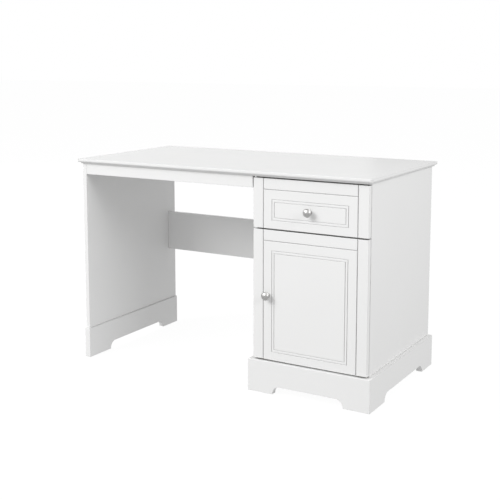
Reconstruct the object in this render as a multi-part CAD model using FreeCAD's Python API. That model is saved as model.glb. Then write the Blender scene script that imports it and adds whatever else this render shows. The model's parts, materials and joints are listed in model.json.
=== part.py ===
import FreeCAD
import Part
import math
import os

# Writing desk: a top on a left side panel and a right cabinet with one drawer over one door.
# Millimetres. +X to the right, +Y to the back, +Z up. The origin is on the floor, at the centre
# of the outline of the whole desk, knobs included.

Vector = FreeCAD.Vector
X_AXIS = Vector(1, 0, 0)
Y_AXIS = Vector(0, 1, 0)
Z_AXIS = Vector(0, 0, 1)

# ---- Driving dimensions -------------------------------------------------------------------

# Desktop
desk_width = 1200.0
desk_depth = 600.0
desk_height = 770.0
top_thickness = 18.0
side_overhang = 16.0
front_overhang = 14.0
back_overhang = 10.0
top_edge_round = 1.8
edge_bulge_radius = 5.0
edge_cove_radius = 6.0
top_corner_radius = 8.0

# Boards
side_thickness = 16.0
carcass_thickness = 16.0
front_thickness = 18.0
apron_thickness = 18.0
modesty_thickness = 16.0
shelf_thickness = 16.0
back_panel_thickness = 3.0
edge_round = 1.0

# Plinths
plinth_height = 115.0
plinth_thickness = 22.0
plinth_side_projection = 16.0
plinth_front_projection = 9.0
plinth_top_round = 2.0
plinth_back_thickness = 16.0
foot_cut_height = 31.0
foot_curve_radius = 28.0
front_foot_width = 96.0
side_front_foot = 126.0
side_rear_foot = 102.0
corner_block_side = 30.0
corner_block_height = 60.0
glide_radius = 8.0
glide_thickness = 2.5
glide_pin_radius = 1.5
glide_pin_length = 12.0

# Apron and modesty panel
apron_height = 40.0
apron_end_gap = 3.0
modesty_height = 160.0
modesty_drop = 257.5
modesty_inset = 33.0
bracket_leg = 25.0
bracket_sheet = 2.0
bracket_width = 20.0
bracket_inset = 120.0

# Cabinet
cabinet_width = 425.0
carcass_setback = 2.0
front_reveal = 0.5
front_gap = 5.0
drawer_front_height = 170.0
top_rail_depth = 80.0
back_rebate = 8.0
shelf_side_clearance = 1.0
shelf_front_setback = 30.0
shelf_back_clearance = 5.0
shelf_pin_radius = 2.5
shelf_pin_bore = 9.0
shelf_pin_reach = 8.0
shelf_pin_inset = 60.0
shelf_pin_pitch = 32.0
shelf_pin_rows = 3
shelf_pin_collar_radius = 4.0
shelf_pin_collar_thickness = 1.0
shelf_pin_flat_length = 30.0
nail_radius = 0.9
nail_length = 20.0
nail_head_radius = 3.0
nail_head_thickness = 0.8
nail_end_inset = 45.0
nails_per_side = 5
nails_per_level_edge = 3

# Grooves in the drawer front and the door
stile_width = 38.5
rail_width = 37.5
vee_width = 3.6
vee_depth = 4.0
panel_margin = 33.0
panel_low_margin = 29.0
panel_line_spacing = 9.0
panel_line_width = 2.4
panel_line_depth = 2.4

# Drawer box and its ball-bearing slides
box_board = 12.0
box_height = 120.0
box_floor_gap = 12.0
box_bottom_thickness = 3.0
box_bottom_rise = 10.0
box_groove_depth = 6.0
groove_clearance = 0.1
drawer_travel = 490.0
slide_width = 13.0
slide_height = 45.0
slide_sheet = 1.2
slide_rise = 45.0
slide_front_setback = 1.0
slide_rear_clearance = 53.0
slide_outer_lip = 9.5
slide_middle_height = 36.0
slide_middle_offset = 3.6
slide_middle_lip = 7.4
slide_inner_height = 27.0
slide_inner_lip = 6.2
slide_screw_inset = 35.0

# Knobs
knob_radius = 15.5
knob_projection = 27.0
knob_widest = 18.0
knob_neck_radius = 5.5
knob_base_radius = 10.0
knob_base_thickness = 1.6
knob_neck_length = 2.4
knob_rim_round = 1.5
knob_flare_out = 0.36
knob_flare_up = 0.64
door_knob_inset = 55.5
drawer_knob_rise = 67.5
knob_screw_radius = 2.0
knob_screw_engagement = 11.0
knob_screw_head_radius = 4.0
knob_screw_head_height = 2.4

# Concealed door hinges
hinge_inset = 80.0
hinge_cup_radius = 17.4
hinge_cup_depth = 11.5
hinge_cup_wall = 1.0
hinge_cup_edge_distance = 22.0
hinge_flange_length = 58.0
hinge_flange_width = 20.0
hinge_flange_thickness = 1.0
hinge_plate_length = 50.0
hinge_plate_height = 44.0
hinge_plate_thickness = 3.0
hinge_plate_setback = 15.0
hinge_arm_length = 62.0
hinge_arm_width = 16.0
hinge_arm_depth = 9.0
hinge_arm_sheet = 1.5
hinge_cup_rim = 1.5
hinge_flange_round = 9.0
hinge_plate_wing_width = 18.0
hinge_plate_wing_round = 6.0
hinge_screw_inset = 5.0
hinge_adjuster_radius = 3.2
hinge_adjuster_length = 5.0
hinge_adjuster_proud = 0.6
hinge_adjuster_shares = [0.35, 0.65]
door_axis_inset = 6.0

# Fasteners and their clearances
dowel_radius = 4.0
dowel_length = 30.0
dowel_depth_in_face = 11.0
dowel_chamfer = 0.8
dowel_inset = 60.0
cam_radius = 7.5
cam_depth = 12.0
cam_distance = 34.0
cam_slot_width = 1.6
cam_slot_depth = 1.5
cam_slot_share = 0.7
cam_inset = 110.0
cam_bolt_radius = 3.2
cam_bolt_thread_radius = 2.8
cam_bolt_thread_length = 10.5
screw_radius = 1.75
screw_head_radius = 3.5
screw_head_height = 1.6
screw_length = 13.0
screw_recess_share = 0.275
low_head_radius = 3.0
low_head_height = 0.8
box_screw_length = 26.0
front_screw_length = 26.0
front_screw_inset = 60.0
cabinet_slide_screw_length = 12.0
box_slide_screw_length = 9.0
hinge_cup_screw_length = 11.0
hinge_plate_screw_length = 12.0
hole_clearance = 0.1
sliding_clearance = 0.5
bumper_radius = 4.0
bumper_clearance = 0.1
bumper_inset = 30.0

# How far a cutter reaches past the wood, and how near counts as on an edge or in line with it
overshoot = 1.0
near = 1.0
close = 0.01
in_line = 0.999

# ---- Places worked out from the driving dimensions ----------------------------------------

front_y = (knob_projection - (desk_depth - front_overhang)) / 2
top_front_y = front_y - front_overhang
top_back_y = top_front_y + desk_depth
back_y = top_back_y - back_overhang
front_back_y = front_y + front_thickness
carcass_front_y = front_back_y + carcass_setback
back_panel_y = back_y - back_panel_thickness

top_under_z = desk_height - top_thickness

gable_left_x = -desk_width / 2 + side_overhang
gable_right_x = gable_left_x + side_thickness
cabinet_right_x = desk_width / 2 - side_overhang
cabinet_left_x = cabinet_right_x - cabinet_width
inside_left_x = cabinet_left_x + side_thickness
inside_right_x = cabinet_right_x - side_thickness
fronts_left_x = cabinet_left_x + front_reveal
fronts_right_x = cabinet_right_x - front_reveal
fronts_centre_x = (fronts_left_x + fronts_right_x) / 2

drawer_front_top_z = top_under_z - front_gap
drawer_front_low_z = drawer_front_top_z - drawer_front_height
door_top_z = drawer_front_low_z - front_gap
door_low_z = plinth_height + front_gap
divider_mid_z = (door_top_z + drawer_front_low_z) / 2
divider_low_z = divider_mid_z - carcass_thickness / 2
divider_top_z = divider_mid_z + carcass_thickness / 2
bottom_top_z = plinth_height + carcass_thickness
rail_low_z = top_under_z - carcass_thickness

modesty_top_z = top_under_z - modesty_drop
modesty_low_z = modesty_top_z - modesty_height
modesty_back_y = back_y - modesty_inset
modesty_front_y = modesty_back_y - modesty_thickness

apron_low_z = top_under_z - apron_height
apron_right_x = fronts_left_x - apron_end_gap

plinth_front_y = front_y - plinth_front_projection
plinth_left_x = cabinet_left_x - plinth_side_projection
plinth_right_x = cabinet_right_x + plinth_side_projection
plinth_cut_front_y = plinth_front_y + side_front_foot
plinth_cut_back_y = back_y - side_rear_foot

shelf_low_z = (bottom_top_z + divider_low_z - shelf_thickness) / 2
shelf_front_y = carcass_front_y + shelf_front_setback
shelf_back_y = back_panel_y - shelf_back_clearance

box_left_x = inside_left_x + slide_width
box_right_x = inside_right_x - slide_width
box_front_y = front_back_y
slide_front_y = carcass_front_y + slide_front_setback
slide_length = back_panel_y - carcass_front_y - slide_rear_clearance
slide_back_y = slide_front_y + slide_length
box_back_y = slide_back_y + slide_front_setback
box_low_z = divider_top_z + box_floor_gap
box_top_z = box_low_z + box_height
box_bottom_z = box_low_z + box_bottom_rise
slide_mid_z = box_low_z + slide_rise

drawer_knob_z = drawer_front_low_z + drawer_knob_rise
door_knob_x = fronts_left_x + door_knob_inset
door_knob_z = (door_low_z + door_top_z) / 2

hinge_x = fronts_right_x - hinge_cup_edge_distance
hinge_heights = [door_low_z + hinge_inset, door_top_z - hinge_inset]
hinge_arm_front_y = carcass_front_y + sliding_clearance
hinge_plate_front_y = carcass_front_y + hinge_plate_setback
door_axis_x = fronts_right_x - door_axis_inset
door_axis_y = front_y + door_axis_inset

holes = {}

# ---- General helpers ----------------------------------------------------------------------


def box(x0, x1, y0, y1, z0, z1):
    return Part.makeBox(x1 - x0, y1 - y0, z1 - z0, Vector(x0, y0, z0))


def rounded_board(x0, x1, y0, y1, z0, z1, radius=edge_round):
    board = box(x0, x1, y0, y1, z0, z1)
    return board.makeFillet(radius, board.Edges)


def rod(radius, length, start, axis):
    return Part.makeCylinder(radius, length, start, axis)


def join(shapes):
    first = shapes[0]
    return first.multiFuse(shapes[1:]).removeSplitter() if len(shapes) > 1 else first


def prism(points, direction):
    closed = points + [points[0]]
    return Part.Face(Part.makePolygon(closed)).extrude(direction)


def drill(names, cutter):
    for name in names:
        holes.setdefault(name, []).append(cutter)


def drilled(name, board):
    cutters = holes.get(name, [])
    return board.cut(cutters) if cutters else board


def edges_along(shape, axis, tests):
    chosen = []
    for edge in shape.Edges:
        ends = [vertex.Point for vertex in edge.Vertexes]
        straight = abs((ends[1] - ends[0]).normalize().dot(axis)) > in_line
        if straight and all(test(edge.CenterOfMass) for test in tests):
            chosen.append(edge)
    return chosen


# ---- Desktop ------------------------------------------------------------------------------


def edge_outline(tip, inner, direction, place):
    """Half outline of the moulded edge: from the top face, round the rim, to the underside.

    tip is the outermost coordinate, direction is +1 when the board lies on its positive side,
    inner is where the outline starts and ends, and place(s, z) turns it into a point."""
    rim_low_z = top_under_z + edge_bulge_radius + edge_cove_radius
    slope = math.sqrt(0.5)

    def at(inward, z):
        return place(tip + direction * inward, z)

    top_arc = Part.Arc(
        at(top_edge_round, desk_height),
        at(top_edge_round * (1 - slope), desk_height - top_edge_round * (1 - slope)),
        at(0, desk_height - top_edge_round))
    bulge = Part.Arc(
        at(0, rim_low_z),
        at(edge_bulge_radius * (1 - slope), rim_low_z - edge_bulge_radius * slope),
        at(edge_bulge_radius, rim_low_z - edge_bulge_radius))
    cove_start_z = rim_low_z - edge_bulge_radius
    cove = Part.Arc(
        at(edge_bulge_radius, cove_start_z),
        at(edge_bulge_radius + edge_cove_radius * slope, top_under_z + edge_cove_radius * slope),
        at(edge_bulge_radius + edge_cove_radius, top_under_z))
    return [
        Part.LineSegment(place(inner, desk_height), at(top_edge_round, desk_height)),
        top_arc,
        Part.LineSegment(at(0, desk_height - top_edge_round), at(0, rim_low_z)),
        bulge,
        cove,
        Part.LineSegment(at(edge_bulge_radius + edge_cove_radius, top_under_z),
                         place(inner, top_under_z))]


def edge_slab(tip, inner, direction, place, run):
    curves = edge_outline(tip, inner, direction, place)
    curves.append(Part.LineSegment(place(inner, top_under_z), place(inner, desk_height)))
    wire = Part.Wire([curve.toShape() for curve in curves])
    return Part.Face(wire).extrude(run)


def make_desktop():
    left_x = -desk_width / 2
    right_x = desk_width / 2

    def across(x, z):
        return Vector(x, top_front_y, z)

    def along(y, z):
        return Vector(left_x, y, z)

    left_half = edge_slab(left_x, 0, 1, across, Vector(0, desk_depth, 0))
    right_half = edge_slab(right_x, 0, -1, across, Vector(0, desk_depth, 0))
    front_to_back = edge_slab(top_front_y, top_back_y, 1, along, Vector(desk_width, 0, 0))
    slab = left_half.fuse(right_half).common(front_to_back)
    outline = box(left_x, right_x, top_front_y, top_back_y, top_under_z, desk_height)
    front_corners = edges_along(outline, Z_AXIS, [lambda point: point.y < front_y])
    outline = outline.makeFillet(top_corner_radius, front_corners)
    return slab.common(outline).removeSplitter()


# ---- Plinths ------------------------------------------------------------------------------


def foot_cutter(low, high, place, run):
    """Opening between two feet: rounded upper corners, open at the floor."""
    top_z = foot_cut_height
    radius = foot_curve_radius
    below_z = -foot_cut_height
    slope = math.sqrt(0.5)
    left_arc = Part.Arc(
        place(low, top_z - radius),
        place(low + radius * (1 - slope), top_z - radius * (1 - slope)),
        place(low + radius, top_z))
    right_arc = Part.Arc(
        place(high - radius, top_z),
        place(high - radius * (1 - slope), top_z - radius * (1 - slope)),
        place(high, top_z - radius))
    curves = [
        Part.LineSegment(place(low, below_z), place(low, top_z - radius)),
        left_arc,
        Part.LineSegment(place(low + radius, top_z), place(high - radius, top_z)),
        right_arc,
        Part.LineSegment(place(high, top_z - radius), place(high, below_z)),
        Part.LineSegment(place(high, below_z), place(low, below_z))]
    wire = Part.Wire([curve.toShape() for curve in curves])
    return Part.Face(wire).extrude(run)


def side_foot_cutter(x0, x1):
    def along(y, z):
        return Vector(x0 - overshoot, y, z)

    return foot_cutter(plinth_cut_front_y, plinth_cut_back_y, along,
                       Vector(x1 - x0 + 2 * overshoot, 0, 0))


def make_plinth_front():
    board = box(plinth_left_x, plinth_right_x, plinth_front_y, plinth_front_y + plinth_thickness,
                glide_thickness, plinth_height)
    top_front = edges_along(board, X_AXIS, [
        lambda point: point.z > plinth_height - near,
        lambda point: point.y < plinth_front_y + near])
    board = board.makeFillet(plinth_top_round, top_front)
    depth = plinth_thickness
    for corner_x, toward in [(plinth_left_x, 1), (plinth_right_x, -1)]:
        wedge = prism([
            Vector(corner_x, plinth_front_y, 0),
            Vector(corner_x + toward * depth, plinth_front_y + depth, 0),
            Vector(corner_x, plinth_front_y + depth, 0)], Vector(0, 0, plinth_height))
        board = board.cut(wedge)

    def across(x, z):
        return Vector(x, plinth_front_y - overshoot, z)

    cutter = foot_cutter(plinth_left_x + front_foot_width, plinth_right_x - front_foot_width,
                         across, Vector(0, depth + 2 * overshoot, 0))
    return drilled("plinth_front", board.cut(cutter))


def make_plinth_side(name, outer_x, inward):
    inner_x = outer_x + inward * plinth_thickness
    board = box(min(outer_x, inner_x), max(outer_x, inner_x), plinth_front_y, back_y,
                glide_thickness, plinth_height)
    top_outer = edges_along(board, Y_AXIS, [
        lambda point: point.z > plinth_height - near,
        lambda point: abs(point.x - outer_x) < near])
    board = board.makeFillet(plinth_top_round, top_outer)
    wedge = prism([
        Vector(outer_x, plinth_front_y, 0),
        Vector(inner_x, plinth_front_y + plinth_thickness, 0),
        Vector(inner_x, plinth_front_y, 0)], Vector(0, 0, plinth_height))
    board = board.cut([wedge, side_foot_cutter(min(outer_x, inner_x), max(outer_x, inner_x))])
    return drilled(name, board)


def make_plinth_back():
    board = box(plinth_left_x + plinth_thickness, plinth_right_x - plinth_thickness,
                back_y - plinth_back_thickness, back_y, foot_cut_height, plinth_height)
    return drilled("plinth_back", board)


def make_left_plinth_board():
    board = box(gable_left_x, gable_left_x + plinth_thickness, plinth_front_y, back_y,
                glide_thickness, plinth_height)
    top_edges = edges_along(board, Y_AXIS, [
        lambda point: point.z > plinth_height - near,
        lambda point: point.x > gable_left_x + near])
    top_edges += edges_along(board, X_AXIS, [
        lambda point: point.z > plinth_height - near,
        lambda point: point.y < plinth_front_y + near])
    board = board.makeFillet(plinth_top_round, top_edges)
    board = board.cut(side_foot_cutter(gable_left_x, gable_left_x + plinth_thickness))
    return drilled("left_plinth_board", board)


def make_corner_blocks():
    """Three-cornered glue blocks inside the cabinet plinth's corners, under the cabinet bottom."""
    inner_left = plinth_left_x + plinth_thickness
    inner_right = plinth_right_x - plinth_thickness
    inner_front = plinth_front_y + plinth_thickness
    inner_back = back_y - plinth_back_thickness
    low_z = plinth_height - corner_block_height
    blocks = []
    for x, toward_x in [(inner_left, 1), (inner_right, -1)]:
        for y, toward_y in [(inner_front, 1), (inner_back, -1)]:
            blocks.append(prism([
                Vector(x, y, low_z),
                Vector(x + toward_x * corner_block_side, y, low_z),
                Vector(x, y + toward_y * corner_block_side, low_z)],
                Vector(0, 0, corner_block_height)))
    return Part.makeCompound(blocks)


def glide_places():
    half = plinth_thickness / 2
    front_y_glide = plinth_front_y + side_front_foot / 2
    back_y_glide = back_y - side_rear_foot / 2
    places = []
    for x in [gable_left_x + half, plinth_left_x + half, plinth_right_x - half]:
        places.append(Vector(x, front_y_glide, 0))
        places.append(Vector(x, back_y_glide, 0))
    return places


def make_floor_glides():
    glides = []
    for place in glide_places():
        disc = rod(glide_radius, glide_thickness, place, Z_AXIS)
        rim = edges_of_circle(disc, place.z)
        disc = disc.makeFillet(glide_thickness / 3, rim)
        pin = rod(glide_pin_radius, glide_pin_length, place + Z_AXIS * glide_thickness, Z_AXIS)
        glides.append(disc.fuse(pin))
    return Part.makeCompound(glides)


def edges_of_circle(shape, z):
    return [edge for edge in shape.Edges
            if isinstance(edge.Curve, Part.Circle) and abs(edge.CenterOfMass.z - z) < close]


def drill_glide_holes():
    depth = glide_pin_length + overshoot
    for place in glide_places():
        hole = rod(glide_pin_radius + hole_clearance / 2, depth, place + Z_AXIS * glide_thickness, Z_AXIS)
        drill(["left_plinth_board", "plinth_left", "plinth_right"], hole)


# ---- Left side, apron and modesty panel ---------------------------------------------------


def make_left_side_panel():
    board = rounded_board(gable_left_x, gable_right_x, front_y, back_y, plinth_height, top_under_z)
    return drilled("left_side_panel", board)


def make_front_apron():
    board = rounded_board(gable_right_x, apron_right_x, front_y, front_y + apron_thickness,
                          apron_low_z, top_under_z)
    return drilled("front_apron", board)


def make_modesty_panel():
    board = rounded_board(gable_right_x, cabinet_left_x, modesty_front_y, modesty_back_y,
                          modesty_low_z, modesty_top_z)
    return drilled("modesty_panel", board)


def bracket_places():
    left = gable_right_x + bracket_inset
    right = apron_right_x - bracket_inset
    return [left, (left + right) / 2, right]


def make_apron_brackets():
    corner_y = front_y + apron_thickness
    brackets = []
    for x in bracket_places():
        x0 = x - bracket_width / 2
        x1 = x + bracket_width / 2
        upright = box(x0, x1, corner_y, corner_y + bracket_sheet, top_under_z - bracket_leg, top_under_z)
        flat = box(x0, x1, corner_y, corner_y + bracket_leg, top_under_z - bracket_sheet, top_under_z)
        bracket = join([upright, flat])
        for screw_place, axis in bracket_screw_places(x):
            bracket = bracket.cut(screw_passage(screw_place, axis, bracket_sheet))
        brackets.append(bracket)
    return Part.makeCompound(brackets)


def bracket_screw_places(x):
    """Point on each bracket leg's open face where a screw head sits, and the way it goes in."""
    corner_y = front_y + apron_thickness
    middle = (bracket_leg + bracket_sheet) / 2
    return [
        (Vector(x, corner_y + bracket_sheet, top_under_z - middle), Y_AXIS * -1),
        (Vector(x, corner_y + middle, top_under_z - bracket_sheet), Z_AXIS)]


def make_screw(place, axis, length, radius=screw_radius, head_radius=screw_head_radius,
               head_height=screw_head_height):
    """Screw whose head stands on the face at place and whose shank goes along axis."""
    head = rod(head_radius, head_height, place, axis * -1)
    head = head.makeFillet(head_height / 3, outer_head_edges(head, place, axis, head_height))
    shank = rod(radius, length, place, axis)
    recess = rod(head_radius * screw_recess_share, head_height / 2, place - axis * head_height, axis)
    return head.fuse(shank).cut(recess)


def outer_head_edges(head, place, axis, head_height):
    outer = place - axis * head_height
    return [edge for edge in head.Edges
            if isinstance(edge.Curve, Part.Circle) and edge.CenterOfMass.distanceToPoint(outer) < close]


def screw_passage(place, axis, sheet):
    """Cutter for the free hole that a screw passes through in sheet metal under its head."""
    return rod(screw_radius + hole_clearance, sheet + 2 * overshoot, place - axis * overshoot, axis)


def drill_screw(names, place, axis, length):
    hole = rod(screw_radius + hole_clearance / 2, length + hole_clearance, place, axis)
    drill(names, hole)


def make_apron_screws():
    screws = []
    for x in bracket_places():
        for place, axis in bracket_screw_places(x):
            screws.append(make_screw(place, axis, screw_length))
    return Part.makeCompound(screws)


def drill_apron_screws():
    for x in bracket_places():
        for place, axis in bracket_screw_places(x):
            drill_screw(["front_apron", "desktop"], place, axis, screw_length)


# ---- Cabinet ------------------------------------------------------------------------------


def make_cabinet_side(name, left_x):
    board = rounded_board(left_x, left_x + side_thickness, carcass_front_y, back_y,
                          plinth_height, top_under_z)
    rebate = box(inside_left_x - back_rebate, inside_right_x + back_rebate, back_panel_y,
                 back_y + overshoot, plinth_height - overshoot, top_under_z + overshoot)
    return drilled(name, board.cut(rebate))


def make_cabinet_bottom():
    board = box(inside_left_x, inside_right_x, carcass_front_y, back_panel_y,
                plinth_height, bottom_top_z)
    return drilled("cabinet_bottom", board)


def make_cabinet_divider():
    board = box(inside_left_x, inside_right_x, carcass_front_y, back_panel_y,
                divider_low_z, divider_top_z)
    return drilled("cabinet_divider", board)


def make_front_top_rail():
    board = box(inside_left_x, inside_right_x, carcass_front_y, carcass_front_y + top_rail_depth,
                rail_low_z, top_under_z)
    return drilled("front_top_rail", board)


def make_rear_top_rail():
    board = box(inside_left_x, inside_right_x, back_panel_y - top_rail_depth, back_panel_y,
                rail_low_z, top_under_z)
    return drilled("rear_top_rail", board)


def make_cabinet_back_panel():
    board = box(inside_left_x - back_rebate, inside_right_x + back_rebate, back_panel_y, back_y,
                plinth_height, top_under_z)
    return drilled("cabinet_back_panel", board)


def evenly_spaced(low, high, count):
    return [low + (high - low) * step / (count - 1) for step in range(count)]


def nail_places():
    """Points on the back panel's outer face where its nails go in, along all four edges."""
    left_x = inside_left_x - back_rebate / 2
    right_x = inside_right_x + back_rebate / 2
    low_z = bottom_top_z - carcass_thickness / 2
    high_z = top_under_z - carcass_thickness / 2
    places = []
    for z in evenly_spaced(low_z + nail_end_inset, high_z - nail_end_inset, nails_per_side):
        places.append(Vector(left_x, back_y, z))
        places.append(Vector(right_x, back_y, z))
    for x in evenly_spaced(left_x + nail_end_inset, right_x - nail_end_inset, nails_per_level_edge):
        places.append(Vector(x, back_y, low_z))
        places.append(Vector(x, back_y, high_z))
    return places


def make_back_panel_nails():
    nails = []
    for place in nail_places():
        head = rod(nail_head_radius, nail_head_thickness, place, Y_AXIS)
        nails.append(head.fuse(rod(nail_radius, nail_length, place, Y_AXIS * -1)))
    return Part.makeCompound(nails)


def drill_nails():
    boards = ["cabinet_back_panel", "cabinet_left_side", "cabinet_right_side", "cabinet_bottom",
              "rear_top_rail"]
    for place in nail_places():
        drill(boards, rod(nail_radius + hole_clearance / 2, nail_length + hole_clearance,
                          place, Y_AXIS * -1))


def make_shelf():
    return rounded_board(inside_left_x + shelf_side_clearance, inside_right_x - shelf_side_clearance,
                         shelf_front_y, shelf_back_y, shelf_low_z, shelf_low_z + shelf_thickness)


def shelf_pin_places():
    """Points on the cabinet sides' inner faces just under the shelf, with the way into the wood."""
    places = []
    for y in [shelf_front_y + shelf_pin_inset, shelf_back_y - shelf_pin_inset]:
        places.append((Vector(inside_left_x, y, shelf_low_z - shelf_pin_radius), X_AXIS * -1))
        places.append((Vector(inside_right_x, y, shelf_low_z - shelf_pin_radius), X_AXIS))
    return places


def make_shelf_pins():
    pins = []
    for place, into_wood in shelf_pin_places():
        peg = rod(shelf_pin_radius, shelf_pin_bore - overshoot + shelf_pin_reach,
                  place - into_wood * shelf_pin_reach, into_wood)
        collar = rod(shelf_pin_collar_radius, shelf_pin_collar_thickness,
                     place - into_wood * shelf_pin_collar_thickness, into_wood)
        half = shelf_pin_flat_length / 2
        flat = box(place.x - half, place.x + half, place.y - half, place.y + half,
                   shelf_low_z, shelf_low_z + half)
        pins.append(peg.fuse(collar).cut(flat))
    return Part.makeCompound(pins)


def drill_shelf_pins():
    middle_row = (shelf_pin_rows - 1) / 2
    for place, into_wood in shelf_pin_places():
        for row in range(shelf_pin_rows):
            start = place + Z_AXIS * (row - middle_row) * shelf_pin_pitch
            hole = rod(shelf_pin_radius + hole_clearance / 2, shelf_pin_bore, start, into_wood)
            drill(["cabinet_left_side", "cabinet_right_side"], hole)


# ---- Dowels and cam fittings --------------------------------------------------------------


def upright_board_places(inset):
    """Middle of each upright's top edge, at the given distance from its front and back."""
    places = []
    for left_x, start_y in [(gable_left_x, front_y), (cabinet_left_x, carcass_front_y),
                            (inside_right_x, carcass_front_y)]:
        for y in [start_y + inset, back_y - inset]:
            places.append((left_x + side_thickness / 2, y))
    return places


def dowel_places():
    """Each dowel: the point where it crosses from the face-bored board, and the way it sticks out."""
    places = []
    for x, y in upright_board_places(dowel_inset):
        places.append((Vector(x, y, top_under_z), Z_AXIS * -1))
    gable_middle_x = gable_left_x + side_thickness / 2
    for y in [front_y + dowel_inset, (front_y + back_y) / 2, back_y - dowel_inset]:
        places.append((Vector(gable_middle_x, y, plinth_height), Z_AXIS))
    for z in [bottom_top_z - carcass_thickness / 2, divider_mid_z]:
        for y in [carcass_front_y + dowel_inset, back_panel_y - dowel_inset]:
            places.append((Vector(inside_left_x, y, z), X_AXIS))
            places.append((Vector(inside_right_x, y, z), X_AXIS * -1))
    rail_z = top_under_z - carcass_thickness / 2
    for start_y in [carcass_front_y, back_panel_y - top_rail_depth]:
        y = start_y + top_rail_depth * 3 / 4
        places.append((Vector(inside_left_x, y, rail_z), X_AXIS))
        places.append((Vector(inside_right_x, y, rail_z), X_AXIS * -1))
    modesty_middle_y = (modesty_front_y + modesty_back_y) / 2
    for z in [modesty_low_z + modesty_height / 4, modesty_top_z - modesty_height / 4]:
        places.append((Vector(gable_right_x, modesty_middle_y, z), X_AXIS))
        places.append((Vector(cabinet_left_x, modesty_middle_y, z), X_AXIS * -1))
    apron_middle_y = front_y + apron_thickness / 2
    places.append((Vector(gable_right_x, apron_middle_y, top_under_z - apron_height / 2), X_AXIS))
    return places


def make_dowels():
    pegs = []
    for place, outward in dowel_places():
        peg = rod(dowel_radius, dowel_length, place - outward * dowel_depth_in_face, outward)
        ends = [edge for edge in peg.Edges if isinstance(edge.Curve, Part.Circle)]
        pegs.append(peg.makeChamfer(dowel_chamfer, ends))
    return Part.makeCompound(pegs)


def drill_dowels():
    boards = ["desktop", "left_side_panel", "left_plinth_board", "front_apron", "modesty_panel",
              "cabinet_left_side", "cabinet_right_side", "cabinet_bottom", "cabinet_divider",
              "front_top_rail", "rear_top_rail"]
    for place, outward in dowel_places():
        start = place - outward * (dowel_depth_in_face + hole_clearance)
        length = dowel_length + 2 * hole_clearance
        drill(boards, rod(dowel_radius + hole_clearance / 2, length, start, outward))


def cam_places():
    """Each cam fitting: where its bolt leaves the face-bored board, the bolt's way, and the way
    from the bolt's line to the face that the cam is let into."""
    places = []
    for x, y in upright_board_places(cam_inset):
        inner_face = X_AXIS * (-1 if x > cabinet_left_x + side_thickness else 1)
        places.append((Vector(x, y, top_under_z), Z_AXIS * -1, inner_face))
    for z in [bottom_top_z - carcass_thickness / 2, divider_mid_z]:
        for y in [carcass_front_y + cam_inset, back_panel_y - cam_inset]:
            places.append((Vector(inside_left_x, y, z), X_AXIS, Z_AXIS * -1))
            places.append((Vector(inside_right_x, y, z), X_AXIS * -1, Z_AXIS * -1))
    modesty_middle_y = (modesty_front_y + modesty_back_y) / 2
    modesty_middle_z = (modesty_low_z + modesty_top_z) / 2
    places.append((Vector(gable_right_x, modesty_middle_y, modesty_middle_z), X_AXIS, Y_AXIS))
    places.append((Vector(cabinet_left_x, modesty_middle_y, modesty_middle_z), X_AXIS * -1, Y_AXIS))
    return places


def cam_bolt_length():
    return cam_distance + cam_bolt_radius


def make_cam_locks():
    cams = []
    half_board = side_thickness / 2
    for place, along, to_face in cam_places():
        middle = place + along * cam_distance
        drum = rod(cam_radius, cam_depth, middle + to_face * half_board, to_face * -1)
        bolt_room = rod(cam_bolt_radius + hole_clearance, cam_radius + cam_bolt_radius + hole_clearance,
                        middle - along * cam_radius, along)
        drum = drum.cut(bolt_room)
        across = along.cross(to_face)
        slot_half = along * cam_radius * cam_slot_share
        slot_side = across * (cam_slot_width / 2)
        corner = middle + to_face * (half_board + overshoot)
        slot = prism([corner - slot_half - slot_side, corner + slot_half - slot_side,
                      corner + slot_half + slot_side, corner - slot_half + slot_side],
                     to_face * -(cam_slot_depth + overshoot))
        cams.append(drum.cut(slot))
    return Part.makeCompound(cams)


def make_cam_bolts():
    bolts = []
    for place, along, to_face in cam_places():
        shank = rod(cam_bolt_radius, cam_bolt_length(), place, along)
        thread = rod(cam_bolt_thread_radius, cam_bolt_thread_length, place, along * -1)
        bolts.append(shank.fuse(thread))
    return Part.makeCompound(bolts)


def drill_cam_fittings():
    half_board = side_thickness / 2
    boards = ["desktop", "left_side_panel", "modesty_panel", "cabinet_left_side",
              "cabinet_right_side", "cabinet_bottom", "cabinet_divider"]
    for place, along, to_face in cam_places():
        middle = place + along * cam_distance
        pocket = rod(cam_radius + hole_clearance / 2, cam_depth + hole_clearance,
                     middle + to_face * half_board, to_face * -1)
        shank = rod(cam_bolt_radius + hole_clearance, cam_bolt_length() + hole_clearance, place, along)
        thread = rod(cam_bolt_thread_radius + hole_clearance / 2,
                     cam_bolt_thread_length + hole_clearance, place, along * -1)
        drill(boards, pocket)
        drill(boards, shank)
        drill(boards, thread)


# ---- Drawer front and door ----------------------------------------------------------------


def rectangle_wire(x0, x1, y, z0, z1):
    return Part.makePolygon([
        Vector(x0, y, z0),
        Vector(x1, y, z0),
        Vector(x1, y, z1),
        Vector(x0, y, z1),
        Vector(x0, y, z0)])


def frame_line(x0, x1, z0, z1):
    """Thin V groove whose centre line is the given rectangle, to cut from the front face."""
    half = panel_line_width / 2
    deep_y = front_y + panel_line_depth
    middle = rectangle_wire(x0, x1, deep_y, z0, z1)
    outer = rectangle_wire(x0 - half, x1 + half, front_y, z0 - half, z1 + half)
    inner = rectangle_wire(x0 + half, x1 - half, front_y, z0 + half, z1 - half)
    return Part.makeLoft([outer, middle], True).cut(Part.makeLoft([inner, middle], True))


def vee_upright(x, z0, z1):
    half = vee_width / 2
    return prism([
        Vector(x - half, front_y, z0),
        Vector(x + half, front_y, z0),
        Vector(x, front_y + vee_depth, z0)], Vector(0, 0, z1 - z0))


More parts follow.
